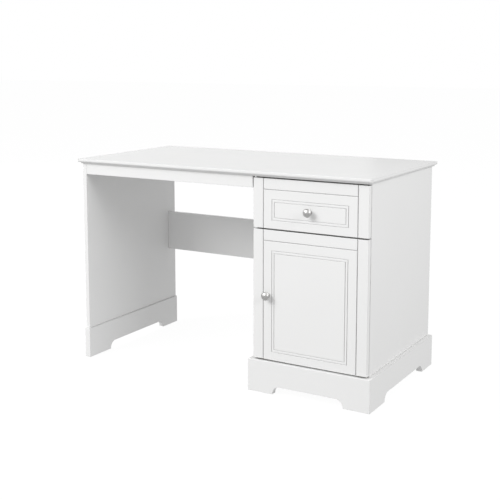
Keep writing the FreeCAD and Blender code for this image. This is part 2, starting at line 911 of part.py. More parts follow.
def vee_level(x0, x1, z):
    half = vee_width / 2
    return prism([
        Vector(x0, front_y, z - half),
        Vector(x0, front_y, z + half),
        Vector(x0, front_y + vee_depth, z)], Vector(x1 - x0, 0, 0))


def grooved_front(z0, z1):
    """Full-overlay front with its two stile grooves, rail groove and double panel line."""
    board = rounded_board(fronts_left_x, fronts_right_x, front_y, front_back_y, z0, z1)
    left_stile_x = fronts_left_x + stile_width
    right_stile_x = fronts_right_x - stile_width
    rail_z = z1 - rail_width
    cutters = [
        vee_upright(left_stile_x, z0, z1),
        vee_upright(right_stile_x, z0, z1),
        vee_level(left_stile_x, right_stile_x, rail_z)]
    for inset in [0, panel_line_spacing]:
        cutters.append(frame_line(left_stile_x + panel_margin + inset,
                                  right_stile_x - panel_margin - inset,
                                  z0 + panel_low_margin + inset, rail_z - panel_margin - inset))
    return board.cut(cutters)


def make_drawer_front():
    return drilled("drawer_front", grooved_front(drawer_front_low_z, drawer_front_top_z))


def make_door():
    return drilled("door", grooved_front(door_low_z, door_top_z))


# ---- Knobs --------------------------------------------------------------------------------


def make_knob(x, z):
    """Mushroom knob turned about a line along Y, with a spherical cap, bored for its screw."""
    def at(radius, out):
        return Vector(x + radius, front_y - out, z)

    cap_height = knob_projection - knob_widest
    cap_radius = (knob_radius ** 2 + cap_height ** 2) / (2 * cap_height)
    cap_half_angle = math.asin(knob_radius / cap_radius) / 2
    cap_centre_out = knob_projection - cap_radius
    slope = math.sqrt(0.5)
    fillet = knob_base_radius - knob_neck_radius
    neck_low = knob_base_thickness + fillet
    neck_high = neck_low + knob_neck_length
    flare_width = knob_radius - knob_neck_radius
    flare_height = knob_widest - neck_high
    curves = [
        Part.LineSegment(at(0, 0), at(knob_base_radius, 0)),
        Part.LineSegment(at(knob_base_radius, 0), at(knob_base_radius, knob_base_thickness)),
        Part.Arc(at(knob_base_radius, knob_base_thickness),
                 at(knob_base_radius - fillet * slope, neck_low - fillet * slope),
                 at(knob_neck_radius, neck_low)),
        Part.LineSegment(at(knob_neck_radius, neck_low), at(knob_neck_radius, neck_high)),
        Part.Arc(at(knob_neck_radius, neck_high),
                 at(knob_neck_radius + flare_width * knob_flare_out,
                    neck_high + flare_height * knob_flare_up),
                 at(knob_radius, knob_widest)),
        Part.Arc(at(knob_radius, knob_widest),
                 at(cap_radius * math.sin(cap_half_angle),
                    cap_centre_out + cap_radius * math.cos(cap_half_angle)),
                 at(0, knob_projection)),
        Part.LineSegment(at(0, knob_projection), at(0, 0))]
    wire = Part.Wire([curve.toShape() for curve in curves])
    turned = Part.Face(wire).revolve(at(0, 0), Y_AXIS, 360)
    rim = [edge for edge in turned.Edges
           if not edge.Degenerated and edge.BoundBox.ZLength > 2 * knob_radius - close]
    turned = turned.makeFillet(knob_rim_round, rim)
    bore = rod(knob_screw_radius + hole_clearance / 2, knob_screw_engagement + overshoot,
               Vector(x, front_y, z), Y_AXIS * -1)
    return turned.cut(bore)


def make_knob_screw(x, z, head_y):
    return make_screw(Vector(x, head_y, z), Y_AXIS * -1, head_y - front_y + knob_screw_engagement,
                      knob_screw_radius, knob_screw_head_radius, knob_screw_head_height)


def drill_knob_screws():
    radius = knob_screw_radius + 2 * hole_clearance
    drawer_length = front_thickness + box_board
    drill(["drawer_front", "drawer_box_front"],
          rod(radius, drawer_length, Vector(fronts_centre_x, front_y, drawer_knob_z), Y_AXIS))
    drill(["door"], rod(radius, front_thickness, Vector(door_knob_x, front_y, door_knob_z), Y_AXIS))


# ---- Drawer box ---------------------------------------------------------------------------


def bottom_groove_cutter():
    return box(box_left_x + box_board - box_groove_depth, box_right_x - box_board + box_groove_depth,
               box_front_y + box_board - box_groove_depth, box_back_y - box_board + box_groove_depth,
               box_bottom_z - groove_clearance, box_bottom_z + box_bottom_thickness + groove_clearance)


def make_drawer_side(name, left_x):
    board = box(left_x, left_x + box_board, box_front_y, box_back_y, box_low_z, box_top_z)
    top_edges = edges_along(board, Y_AXIS, [lambda point: point.z > box_top_z - near])
    board = board.makeFillet(edge_round, top_edges)
    return drilled(name, board.cut(bottom_groove_cutter()))


def make_drawer_cross_board(name, low_y):
    board = box(box_left_x + box_board, box_right_x - box_board, low_y, low_y + box_board,
                box_low_z, box_top_z)
    top_edges = edges_along(board, X_AXIS, [lambda point: point.z > box_top_z - near])
    board = board.makeFillet(edge_round, top_edges)
    return drilled(name, board.cut(bottom_groove_cutter()))


def make_drawer_bottom():
    inset = box_board - box_groove_depth + groove_clearance
    return box(box_left_x + inset, box_right_x - inset, box_front_y + inset, box_back_y - inset,
               box_bottom_z, box_bottom_z + box_bottom_thickness)


def drawer_front_screw_places():
    inner_y = box_front_y + box_board
    places = []
    for x in [box_left_x + front_screw_inset, box_right_x - front_screw_inset]:
        for z in [box_low_z + box_height / 4 + box_bottom_rise, box_top_z - box_height / 4]:
            places.append((Vector(x, inner_y, z), Y_AXIS * -1))
    return places


def make_drawer_front_screws():
    return Part.makeCompound([make_screw(place, axis, front_screw_length)
                              for place, axis in drawer_front_screw_places()])


def box_corner_screw_places():
    """Confirmat screws through the drawer sides into the ends of the cross boards."""
    places = []
    for y in [box_front_y + box_board / 2, box_back_y - box_board / 2]:
        for z in [box_low_z + box_height / 4 + box_bottom_rise, box_top_z - box_height / 6]:
            places.append((Vector(box_left_x + screw_head_height, y, z), X_AXIS))
            places.append((Vector(box_right_x - screw_head_height, y, z), X_AXIS * -1))
    return places


def make_box_corner_screws():
    return Part.makeCompound([make_screw(place, axis, box_screw_length)
                              for place, axis in box_corner_screw_places()])


def drill_drawer_screws():
    for place, axis in drawer_front_screw_places():
        drill_screw(["drawer_box_front", "drawer_front"], place, axis, front_screw_length)
    for place, axis in box_corner_screw_places():
        drill_screw(["drawer_left_side", "drawer_right_side", "drawer_box_front",
                     "drawer_box_back"], place, axis, box_screw_length)
        head_room = rod(screw_head_radius + hole_clearance, screw_head_height, place, axis * -1)
        drill(["drawer_left_side", "drawer_right_side"], head_room)


# ---- Drawer slides ------------------------------------------------------------------------


def channel(back_x, opens, height, lip):
    """C-section rail along Y: web at back_x, lips reaching lip in the direction opens."""
    half = height / 2
    sheet = slide_sheet
    far_x = back_x + opens * lip
    web_x = back_x + opens * sheet
    z_low = slide_mid_z - half
    z_high = slide_mid_z + half
    return prism([
        Vector(back_x, slide_front_y, z_low),
        Vector(far_x, slide_front_y, z_low),
        Vector(far_x, slide_front_y, z_low + sheet),
        Vector(web_x, slide_front_y, z_low + sheet),
        Vector(web_x, slide_front_y, z_high - sheet),
        Vector(far_x, slide_front_y, z_high - sheet),
        Vector(far_x, slide_front_y, z_high),
        Vector(back_x, slide_front_y, z_high)], Vector(0, slide_length, 0))


def slide_screw_rows():
    return [slide_front_y + slide_screw_inset, (slide_front_y + slide_back_y) / 2,
            slide_back_y - slide_screw_inset]


def slide_screw_places(wall_x, into_wood):
    """Screws through a rail's web: heads stand on the web, shanks go into the wood."""
    return [(Vector(wall_x, y, slide_mid_z) - into_wood * slide_sheet, into_wood)
            for y in slide_screw_rows()]


def with_slide_holes(rail, wall_x, into_wood):
    holes_here = [screw_passage(place, axis, slide_sheet)
                  for place, axis in slide_screw_places(wall_x, into_wood)]
    return rail.cut(holes_here)


def make_outer_rail(wall_x, opens):
    rail = channel(wall_x, opens, slide_height, slide_outer_lip)
    return with_slide_holes(rail, wall_x, X_AXIS * -opens)


def make_middle_rail(wall_x, opens):
    return channel(wall_x + opens * slide_middle_offset, opens, slide_middle_height, slide_middle_lip)


def make_inner_rail(wall_x, opens):
    box_face_x = wall_x + opens * slide_width
    rail = channel(box_face_x, -opens, slide_inner_height, slide_inner_lip)
    return with_slide_holes(rail, box_face_x, X_AXIS * opens)


def make_slide_screws(left_x, right_x, left_way, length):
    screws = []
    for wall_x, into_wood in [(left_x, X_AXIS * left_way), (right_x, X_AXIS * -left_way)]:
        for place, axis in slide_screw_places(wall_x, into_wood):
            screws.append(make_screw(place, axis, length, screw_radius, low_head_radius,
                                     low_head_height))
    return Part.makeCompound(screws)


def drill_slide_screws():
    for wall_x, way in [(inside_left_x, -1), (inside_right_x, 1)]:
        for place, axis in slide_screw_places(wall_x, X_AXIS * way):
            drill_screw(["cabinet_left_side", "cabinet_right_side"], place, axis,
                        cabinet_slide_screw_length)
    for wall_x, way in [(box_left_x, 1), (box_right_x, -1)]:
        for place, axis in slide_screw_places(wall_x, X_AXIS * way):
            drill_screw(["drawer_left_side", "drawer_right_side"], place, axis,
                        box_slide_screw_length)


# ---- Door hinges --------------------------------------------------------------------------


def make_hinge_cups():
    cups = []
    for z in hinge_heights:
        floor_y = front_back_y - hinge_cup_depth
        middle = Vector(hinge_x, floor_y, z)
        cup = rod(hinge_cup_radius, hinge_cup_depth, middle, Y_AXIS)
        flange = box(hinge_x - hinge_flange_width / 2, hinge_x + hinge_flange_width / 2,
                     front_back_y, front_back_y + hinge_flange_thickness,
                     z - hinge_flange_length / 2, z + hinge_flange_length / 2)
        corners = edges_along(flange, Y_AXIS, [])
        flange = flange.makeFillet(hinge_flange_round, corners)
        rim = rod(hinge_cup_radius + hinge_cup_rim, hinge_flange_thickness,
                  Vector(hinge_x, front_back_y, z), Y_AXIS)
        body = join([cup, flange, rim])
        pocket = rod(hinge_cup_radius - hinge_cup_wall, hinge_cup_depth + 2 * overshoot,
                     middle + Y_AXIS * hinge_cup_wall, Y_AXIS)
        body = body.cut(pocket)
        for place, axis in hinge_cup_screw_places(z):
            body = body.cut(screw_passage(place, axis, hinge_flange_thickness))
        cups.append(body)
    return Part.makeCompound(cups)


def hinge_cup_screw_places(z):
    reach = hinge_flange_length / 2 - hinge_screw_inset
    face_y = front_back_y + hinge_flange_thickness
    return [(Vector(hinge_x, face_y, z - reach), Y_AXIS * -1),
            (Vector(hinge_x, face_y, z + reach), Y_AXIS * -1)]


def make_hinge_cup_screws():
    screws = []
    for z in hinge_heights:
        for place, axis in hinge_cup_screw_places(z):
            screws.append(make_screw(place, axis, hinge_cup_screw_length, screw_radius,
                                     low_head_radius, low_head_height))
    return Part.makeCompound(screws)


def drill_hinge_cups():
    for z in hinge_heights:
        start = Vector(hinge_x, front_back_y - hinge_cup_depth - hole_clearance, z)
        drill(["door"], rod(hinge_cup_radius + hole_clearance, hinge_cup_depth + overshoot, start, Y_AXIS))
        for place, axis in hinge_cup_screw_places(z):
            drill_screw(["door"], place, axis, hinge_cup_screw_length)
        for place, axis in hinge_plate_screw_places(z):
            drill_screw(["cabinet_right_side"], place, axis, hinge_plate_screw_length)


def hinge_plate_screw_places(z):
    face_x = inside_right_x - hinge_plate_thickness
    y = hinge_plate_front_y + hinge_plate_length / 2
    reach = hinge_plate_height / 2 - hinge_screw_inset
    return [(Vector(face_x, y, z - reach), X_AXIS),
            (Vector(face_x, y, z + reach), X_AXIS)]


def make_hinge_plates():
    plates = []
    for z in hinge_heights:
        y0 = hinge_plate_front_y
        x0 = inside_right_x - hinge_plate_thickness
        stem = box(x0, inside_right_x, y0, y0 + hinge_plate_length,
                   z - hinge_arm_width / 2 + hinge_arm_sheet, z + hinge_arm_width / 2 - hinge_arm_sheet)
        middle_y = y0 + hinge_plate_length / 2
        wings = box(x0, inside_right_x, middle_y - hinge_plate_wing_width / 2,
                    middle_y + hinge_plate_wing_width / 2,
                    z - hinge_plate_height / 2, z + hinge_plate_height / 2)
        wings = wings.makeFillet(hinge_plate_wing_round, edges_along(wings, X_AXIS, []))
        plate = join([stem, wings])
        for place, axis in hinge_plate_screw_places(z):
            plate = plate.cut(screw_passage(place, axis, hinge_plate_thickness))
        plates.append(plate)
    return Part.makeCompound(plates)


def make_hinge_plate_screws():
    screws = []
    for z in hinge_heights:
        for place, axis in hinge_plate_screw_places(z):
            screws.append(make_screw(place, axis, hinge_plate_screw_length))
    return Part.makeCompound(screws)


def make_hinge_arms():
    """Channel-shaped arms clipped over the plates, reaching forward to the cups."""
    arms = []
    for z in hinge_heights:
        x1 = inside_right_x - hinge_plate_thickness
        x0 = x1 - hinge_arm_depth
        y0 = hinge_arm_front_y
        y1 = y0 + hinge_arm_length
        half = hinge_arm_width / 2
        arm = box(x0, x1, y0, y1, z - half, z + half)
        arm = arm.makeFillet(hinge_arm_sheet, edges_along(arm, Y_AXIS, [lambda point: point.x < x0 + near]))
        hollow = box(x0 + hinge_arm_sheet, x1 + overshoot, y0 + hinge_arm_sheet, y1 - hinge_arm_sheet,
                     z - half + hinge_arm_sheet, z + half - hinge_arm_sheet)
        arm = arm.cut(hollow)
        adjusters = [rod(hinge_adjuster_radius, hinge_adjuster_length,
                         Vector(x0 - hinge_adjuster_proud, y0 + hinge_arm_length * share, z), X_AXIS)
                     for share in hinge_adjuster_shares]
        arms.append(join([arm] + adjusters))
    return Part.makeCompound(arms)


# ---- Bumpers ------------------------------------------------------------------------------


def make_bumpers(heights):
    """Soft dots on a front's back face, over the edge of the left cabinet side."""
    x = cabinet_left_x + side_thickness / 2
    dots = []
    for z in heights:
        dot = rod(bumper_radius, carcass_setback - bumper_clearance, Vector(x, front_back_y, z), Y_AXIS)
        rim = [edge for edge in dot.Edges
               if isinstance(edge.Curve, Part.Circle) and edge.CenterOfMass.y > front_back_y + near]
        dots.append(dot.makeFillet(carcass_setback / 3, rim))
    return Part.makeCompound(dots)


def make_drawer_bumpers():
    x = cabinet_right_x - side_thickness / 2
    left = make_bumpers([(drawer_front_low_z + drawer_front_top_z) / 2])
    right = left.copy()
    right.translate(Vector(x - cabinet_left_x - side_thickness / 2, 0, 0))
    return Part.makeCompound(left.Solids + right.Solids)


# ---- Assembly -----------------------------------------------------------------------------

drill_glide_holes()
drill_apron_screws()
drill_shelf_pins()
drill_nails()
drill_dowels()
drill_cam_fittings()
drill_knob_screws()
drill_drawer_screws()
drill_slide_screws()
drill_hinge_cups()

parts = {
    "desktop": drilled("desktop", make_desktop()),
    "left_side_panel": make_left_side_panel(),
    "left_plinth_board": make_left_plinth_board(),
    "front_apron": make_front_apron(),
    "apron_brackets": make_apron_brackets(),
    "apron_screws": make_apron_screws(),
    "modesty_panel": make_modesty_panel(),
    "cabinet_left_side": make_cabinet_side("cabinet_left_side", cabinet_left_x),
    "cabinet_right_side": make_cabinet_side("cabinet_right_side", inside_right_x),
    "cabinet_bottom": make_cabinet_bottom(),
    "cabinet_divider": make_cabinet_divider(),
    "front_top_rail": make_front_top_rail(),
    "rear_top_rail": make_rear_top_rail(),
    "cabinet_back_panel": make_cabinet_back_panel(),
    "back_panel_nails": make_back_panel_nails(),
    "shelf": make_shelf(),
    "shelf_pins": make_shelf_pins(),
    "plinth_front": make_plinth_front(),
    "plinth_left": make_plinth_side("plinth_left", plinth_left_x, 1),
    "plinth_right": make_plinth_side("plinth_right", plinth_right_x, -1),
    "plinth_back": make_plinth_back(),
    "plinth_corner_blocks": make_corner_blocks(),
    "floor_glides": make_floor_glides(),
    "dowels": make_dowels(),
    "cam_locks": make_cam_locks(),
    "cam_bolts": make_cam_bolts(),
    "slide_outer_left": make_outer_rail(inside_left_x, 1),
    "slide_outer_right": make_outer_rail(inside_right_x, -1),
    "slide_outer_screws": make_slide_screws(inside_left_x, inside_right_x, -1,
                                            cabinet_slide_screw_length),
    "slide_middle_left": make_middle_rail(inside_left_x, 1),
    "slide_middle_right": make_middle_rail(inside_right_x, -1),
    "slide_inner_left": make_inner_rail(inside_left_x, 1),
    "slide_inner_right": make_inner_rail(inside_right_x, -1),
    "slide_inner_screws": make_slide_screws(box_left_x, box_right_x, 1, box_slide_screw_length),
    "hinge_plates": make_hinge_plates(),
    "hinge_arms": make_hinge_arms(),
    "hinge_plate_screws": make_hinge_plate_screws(),
    "drawer_front": make_drawer_front(),
    "drawer_left_side": make_drawer_side("drawer_left_side", box_left_x),
    "drawer_right_side": make_drawer_side("drawer_right_side", box_right_x - box_board),
    "drawer_box_front": make_drawer_cross_board("drawer_box_front", box_front_y),
    "drawer_box_back": make_drawer_cross_board("drawer_box_back", box_back_y - box_board),
    "drawer_bottom": make_drawer_bottom(),
    "drawer_front_screws": make_drawer_front_screws(),
    "drawer_corner_screws": make_box_corner_screws(),
    "drawer_knob": make_knob(fronts_centre_x, drawer_knob_z),
    "drawer_knob_screw": make_knob_screw(fronts_centre_x, drawer_knob_z,
                                         front_back_y + box_board),
    "drawer_bumpers": make_drawer_bumpers(),
    "door": make_door(),
    "door_knob": make_knob(door_knob_x, door_knob_z),
    "door_knob_screw": make_knob_screw(door_knob_x, door_knob_z, front_back_y),
    "door_bumpers": make_bumpers([door_low_z + bumper_inset, door_top_z - bumper_inset]),
    "hinge_cups": make_hinge_cups(),
    "hinge_cup_screws": make_hinge_cup_screws(),
}

os.makedirs("parts", exist_ok=True)
for name, shape in parts.items():
    if not shape.isValid():
        raise ValueError(name + " is not a valid shape")
    shape.exportStep("parts/" + name + ".step")
    print(name, len(shape.Solids), round(shape.Volume / 1000, 1))
print("door hinge line", door_axis_x, door_axis_y, "drawer travel", drawer_travel)
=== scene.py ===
"""Looks of the writing desk: materials, floor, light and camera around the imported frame."""
import json
import math

import bpy
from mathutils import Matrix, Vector

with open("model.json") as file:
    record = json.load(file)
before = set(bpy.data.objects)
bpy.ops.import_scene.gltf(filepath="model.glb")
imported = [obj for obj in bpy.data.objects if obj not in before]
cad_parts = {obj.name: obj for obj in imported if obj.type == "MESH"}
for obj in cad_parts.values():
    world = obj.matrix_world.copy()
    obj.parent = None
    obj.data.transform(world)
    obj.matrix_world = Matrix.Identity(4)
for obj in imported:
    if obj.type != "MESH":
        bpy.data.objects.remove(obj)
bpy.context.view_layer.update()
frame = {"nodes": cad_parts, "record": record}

MM = 0.001
nodes = frame["nodes"]
scene = bpy.context.scene

# ---- Colours (linear) and finishes --------------------------------------------------------

LACQUER = (0.806, 0.806, 0.804)
LACQUER_SHADE = (0.792, 0.792, 0.788)
# Painted shade for rounded edges that face up
LACQUER_PAINTED_EDGE_SHADE = (0.690, 0.690, 0.687)
# Painted shade for gaps and crevices
LACQUER_PAINTED_GAP_SHADE = (0.250, 0.250, 0.248)
MELAMINE = (0.770, 0.770, 0.762)
MELAMINE_FLECK = (0.735, 0.735, 0.724)
HARDBOARD = (0.740, 0.738, 0.728)
HARDBOARD_FIBRE = (0.680, 0.675, 0.660)
BEECH = (0.560, 0.385, 0.225)
BEECH_DARK = (0.400, 0.245, 0.125)
NICKEL = (0.640, 0.636, 0.628)
NICKEL_SHADE = (0.540, 0.536, 0.528)
ZINC = (0.620, 0.630, 0.650)
ZINC_SHADE = (0.470, 0.480, 0.500)
DIE_CAST = (0.420, 0.422, 0.430)
DIE_CAST_SHADE = (0.330, 0.332, 0.340)
GLIDE_WHITE = (0.760, 0.758, 0.745)
GLIDE_SHADE = (0.690, 0.688, 0.675)
RUBBER = (0.640, 0.640, 0.625)
RUBBER_SHADE = (0.560, 0.560, 0.545)

# Radii over which the shading softens edges, and how far the painted shade in gaps looks for a gap's other
# side
LACQUER_EDGE_RADIUS = 0.9 * MM
MELAMINE_EDGE_RADIUS = 0.5 * MM
METAL_EDGE_RADIUS = 0.25 * MM
GAP_SHADE_REACH = 14 * MM
EDGE_SAMPLES = 6
GAP_SHADE_SAMPLES = 8

# The largest part of a normal along any axis, at which the painted shade on rounded edges starts and at
# which it is full
FLAT_FACE = 0.9995
ROUND_FACE = 0.996
# The upward part of a normal, from no painted shade on rounded edges to full: for faces that look down,
# and groove walls
DOWNWARD = (-0.3, -0.2)
GROOVE_WALL = (0.88, 0.80)
# How open a spot is, where the painted shade of a crevice starts and where it is full
GAP_SHADE_OPENNESS = (0.27, 0.11)


# ---- Node helpers -------------------------------------------------------------------------


class Shader:
    """One material's node tree, with short calls for the nodes that every finish uses."""

    def __init__(self, name):
        self.material = bpy.data.materials.new(name)
        self.material.use_nodes = True
        self.tree = self.material.node_tree
        self.surface = self.tree.nodes["Principled BSDF"]
        self.coords = self.tree.nodes.new("ShaderNodeTexCoord")

    def link(self, source, target):
        self.tree.links.new(source, target)
        return source

    def constant(self, **values):
        for name, value in values.items():
            self.surface.inputs[name.replace("_", " ")].default_value = value

    def stretched(self, scale):
        mapping = self.tree.nodes.new("ShaderNodeMapping")
        mapping.inputs["Scale"].default_value = scale
        self.link(self.coords.outputs["Object"], mapping.inputs["Vector"])
        return mapping.outputs["Vector"]

    def noise(self, vector, scale, detail=3.0, roughness=0.5, distortion=0.0):
        texture = self.tree.nodes.new("ShaderNodeTexNoise")
        texture.inputs["Scale"].default_value = scale
        texture.inputs["Detail"].default_value = detail
        texture.inputs["Roughness"].default_value = roughness
        texture.inputs["Distortion"].default_value = distortion
        self.link(vector, texture.inputs["Vector"])
        return texture.outputs["Fac"]

    def ramp(self, value, low, high, start=0.0, end=1.0):
        """Maps value from low..high to start..end, held at both ends."""
        node = self.tree.nodes.new("ShaderNodeMapRange")
        node.inputs["From Min"].default_value = low
        node.inputs["From Max"].default_value = high
        node.inputs["To Min"].default_value = start
        node.inputs["To Max"].default_value = end
        self.link(value, node.inputs["Value"])
        return node.outputs["Result"]

    def math(self, operation, first, second=0.0):
        node = self.tree.nodes.new("ShaderNodeMath")
        node.operation = operation
        for socket, value in zip(node.inputs, (first, second)):
            if isinstance(value, (int, float)):
                socket.default_value = value
            else:
                self.link(value, socket)
        return node.outputs["Value"]

    def mix(self, factor, first, second):
        node = self.tree.nodes.new("ShaderNodeMix")
        node.data_type = "RGBA"
        self.link(factor, node.inputs["Factor"])
        for socket, value in ((node.inputs[6], first), (node.inputs[7], second)):
            if isinstance(value, tuple):
                socket.default_value = (*value, 1.0)
            else:
                self.link(value, socket)
        return node.outputs[2]

    def edges(self, radius, sharpness):
        """1 on edges and 0 on flats, and the normal rounded over that radius."""
        bevel = self.tree.nodes.new("ShaderNodeBevel")
        bevel.samples = EDGE_SAMPLES
        bevel.inputs["Radius"].default_value = radius
        geometry = self.tree.nodes.new("ShaderNodeNewGeometry")
        dot = self.tree.nodes.new("ShaderNodeVectorMath")
        dot.operation = "DOT_PRODUCT"
        self.link(bevel.outputs["Normal"], dot.inputs[0])
        self.link(geometry.outputs["Normal"], dot.inputs[1])
        return self.ramp(dot.outputs["Value"], 1.0, sharpness), bevel.outputs["Normal"]

    def rounds(self):
        """Mask of the painted shade on rounded edges: 1 on rounded edges, 0 on flat faces, on groove walls
        and on all that faces well down.
        """
        absolute = self.tree.nodes.new("ShaderNodeVectorMath")
        absolute.operation = "ABSOLUTE"
        self.link(self.coords.outputs["Normal"], absolute.inputs[0])
        size = self.tree.nodes.new("ShaderNodeSeparateXYZ")
        self.link(absolute.outputs["Vector"], size.inputs["Vector"])
        flatness = self.math("MAXIMUM", self.math("MAXIMUM", size.outputs["X"], size.outputs["Y"]),
                             size.outputs["Z"])
        normal = self.tree.nodes.new("ShaderNodeSeparateXYZ")
        self.link(self.coords.outputs["Normal"], normal.inputs["Vector"])
        upward = normal.outputs["Z"]
        rounded = self.math("MULTIPLY", self.ramp(flatness, FLAT_FACE, ROUND_FACE),
                            self.ramp(upward, *DOWNWARD))
        return self.math("MULTIPLY", rounded, self.ramp(upward, *GROOVE_WALL))

    def gap_shade_mask(self, reach):
        """Mask of the painted shade in gaps: 1 deep in gaps narrower than that reach and 0 in the open."""
        occlusion = self.tree.nodes.new("ShaderNodeAmbientOcclusion")
        occlusion.samples = GAP_SHADE_SAMPLES
        occlusion.inputs["Distance"].default_value = reach
        return self.ramp(occlusion.outputs["AO"], *GAP_SHADE_OPENNESS)

    def bump(self, height, distance, strength=1.0, normal=None):
        node = self.tree.nodes.new("ShaderNodeBump")
        node.inputs["Distance"].default_value = distance
        node.inputs["Strength"].default_value = strength
        self.link(height, node.inputs["Height"])
        if normal is not None:
            self.link(normal, node.inputs["Normal"])
        return node.outputs["Normal"]

    def finish(self, colour, roughness, normal):
        self.link(colour, self.surface.inputs["Base Color"])
        self.link(roughness, self.surface.inputs["Roughness"])
        self.link(normal, self.surface.inputs["Normal"])
        return self.material


# ---- Materials ----------------------------------------------------------------------------


def satin_lacquer():
    """White sprayed lacquer on fibreboard: faint clouding, orange peel, painted shade on rounded edges
    that face up and in crevices.
    """
    s = Shader("white_satin_lacquer")
    s.constant(IOR=1.48)
    place = s.coords.outputs["Object"]
    clouds = s.noise(place, scale=2.2, detail=4.0)
    smudges = s.noise(place, scale=9.0, detail=5.0, roughness=0.6, distortion=0.4)
    peel = s.noise(place, scale=420.0, detail=2.0)
    dust = s.noise(place, scale=1500.0, detail=1.0)
    edge, rounded = s.edges(LACQUER_EDGE_RADIUS, sharpness=0.72)
    tone = s.mix(s.ramp(clouds, 0.35, 0.70), LACQUER, LACQUER_SHADE)
    # Painted shade: rounded edges that face up are darkened, at 85 to 100 per cent strength as the smudges
    # vary.
    painted_shade_on_rounds = s.math("MULTIPLY", s.rounds(), s.ramp(smudges, 0.35, 0.6, 0.85, 1.0))
    colour = s.mix(painted_shade_on_rounds, tone, LACQUER_PAINTED_EDGE_SHADE)
    # Painted shade: deep in gaps and crevices the colour is darkened, from the ambient occlusion within
    # the reach.
    colour = s.mix(s.gap_shade_mask(GAP_SHADE_REACH), colour, LACQUER_PAINTED_GAP_SHADE)
    rougher_edge = s.math("MULTIPLY", edge, 0.08)
    roughness = s.math("ADD", s.ramp(smudges, 0.3, 0.7, 0.255, 0.267), rougher_edge)
    fine = s.math("ADD", s.math("MULTIPLY", peel, 0.75), s.math("MULTIPLY", dust, 0.25))
    return s.finish(colour, roughness, s.bump(fine, distance=0.008 * MM, strength=0.6, normal=rounded))


def melamine():
    """White melamine-faced chipboard: fine pearled press texture."""
    s = Shader("white_melamine")
    s.constant(IOR=1.5)
    place = s.coords.outputs["Object"]
    pearl = s.noise(place, scale=900.0, detail=2.0, roughness=0.7)
    clouds = s.noise(place, scale=4.0, detail=3.0)
    edge, rounded = s.edges(MELAMINE_EDGE_RADIUS, sharpness=0.75)
    tone = s.mix(s.ramp(pearl, 0.35, 0.65), MELAMINE, MELAMINE_FLECK)
    # Darker along outer edges, and painted shade in inside corners: within the edge radius the colour goes
    # halfway to the fleck tone.
    colour = s.mix(s.math("MULTIPLY", edge, 0.5), tone, MELAMINE_FLECK)
    roughness = s.ramp(clouds, 0.3, 0.7, 0.44, 0.54)
    return s.finish(colour, roughness, s.bump(pearl, distance=0.08 * MM, strength=0.7, normal=rounded))


def hardboard():
    """Painted hardboard: soft fibres lying every way under thin paint."""
    s = Shader("painted_hardboard")
    s.constant(IOR=1.47)
    fibres_across = s.noise(s.stretched((60.0, 1.0, 240.0)), scale=3.0, detail=4.0, distortion=1.2)
    fibres_up = s.noise(s.stretched((240.0, 1.0, 60.0)), scale=3.0, detail=4.0, distortion=1.2)
    fibres = s.math("MAXIMUM", fibres_across, fibres_up)
    colour = s.mix(s.ramp(fibres, 0.5, 0.75), HARDBOARD, HARDBOARD_FIBRE)
    roughness = s.ramp(fibres, 0.4, 0.75, 0.52, 0.66)
    return s.finish(colour, roughness, s.bump(fibres, distance=0.06 * MM, strength=0.6))


def beech():
    """Raw beech: long grain with short dark flecks."""
    s = Shader("raw_beech")
    s.constant(IOR=1.45)
    grain = s.noise(s.stretched((40.0, 40.0, 6.0)), scale=4.0, detail=5.0, distortion=0.8)
    flecks = s.noise(s.stretched((900.0, 900.0, 120.0)), scale=1.0, detail=2.0, roughness=0.7)
    mixed = s.math("MULTIPLY", s.ramp(grain, 0.3, 0.75), s.ramp(flecks, 0.35, 0.7, 0.6, 1.0))
    colour = s.mix(mixed, BEECH, BEECH_DARK)
    roughness = s.ramp(flecks, 0.3, 0.7, 0.58, 0.72)
    return s.finish(colour, roughness, s.bump(flecks, distance=0.1 * MM, strength=0.5))


def satin_nickel():
    """Turned and brushed nickel: fine rings round the knob's axis under satin plating."""
    s = Shader("satin_nickel")
    s.constant(Metallic=1.0, Anisotropic=0.35)
    centred = s.tree.nodes.new("ShaderNodeVectorMath")
    centred.operation = "SUBTRACT"
    centred.inputs[1].default_value = (0.5, 0.0, 0.5)
    s.link(s.coords.outputs["Generated"], centred.inputs[0])
    flat = s.tree.nodes.new("ShaderNodeVectorMath")
    flat.operation = "MULTIPLY"
    flat.inputs[1].default_value = (1.0, 0.0, 1.0)
    s.link(centred.outputs["Vector"], flat.inputs[0])
    radius = s.tree.nodes.new("ShaderNodeVectorMath")
    radius.operation = "LENGTH"
    s.link(flat.outputs["Vector"], radius.inputs[0])
    ring_place = s.tree.nodes.new("ShaderNodeCombineXYZ")
    s.link(radius.outputs["Value"], ring_place.inputs["X"])
    rings = s.noise(ring_place.outputs["Vector"], scale=160.0, detail=3.0, roughness=0.7)
    patina = s.noise(s.coords.outputs["Object"], scale=180.0, detail=4.0)
    colour = s.mix(s.ramp(patina, 0.35, 0.7), NICKEL, NICKEL_SHADE)
    roughness = s.math("ADD", s.ramp(rings, 0.3, 0.7, 0.32, 0.44), s.ramp(patina, 0.3, 0.7, 0.0, 0.06))
    return s.finish(colour, roughness, s.bump(rings, distance=0.03 * MM, strength=0.7))


def pressed_metal(name, light, dark, smooth, rough):
    """Plated or cast metal: cloudy plating, small scratches along Y."""
    s = Shader(name)
    s.constant(Metallic=1.0)
    clouds = s.noise(s.coords.outputs["Object"], scale=240.0, detail=4.0, roughness=0.6)
    scratches = s.noise(s.stretched((1200.0, 30.0, 1200.0)), scale=1.0, detail=3.0, roughness=0.7)
    edge, rounded = s.edges(METAL_EDGE_RADIUS, sharpness=0.75)
    shade = s.math("MULTIPLY", s.ramp(clouds, 0.35, 0.7), s.math("SUBTRACT", 1.0, edge))
    colour = s.mix(shade, light, dark)
    roughness = s.math("ADD", s.ramp(clouds, 0.3, 0.7, smooth, rough),
                       s.ramp(scratches, 0.45, 0.8, 0.0, 0.1))
    return s.finish(colour, roughness, s.bump(scratches, distance=0.03 * MM, strength=0.5, normal=rounded))


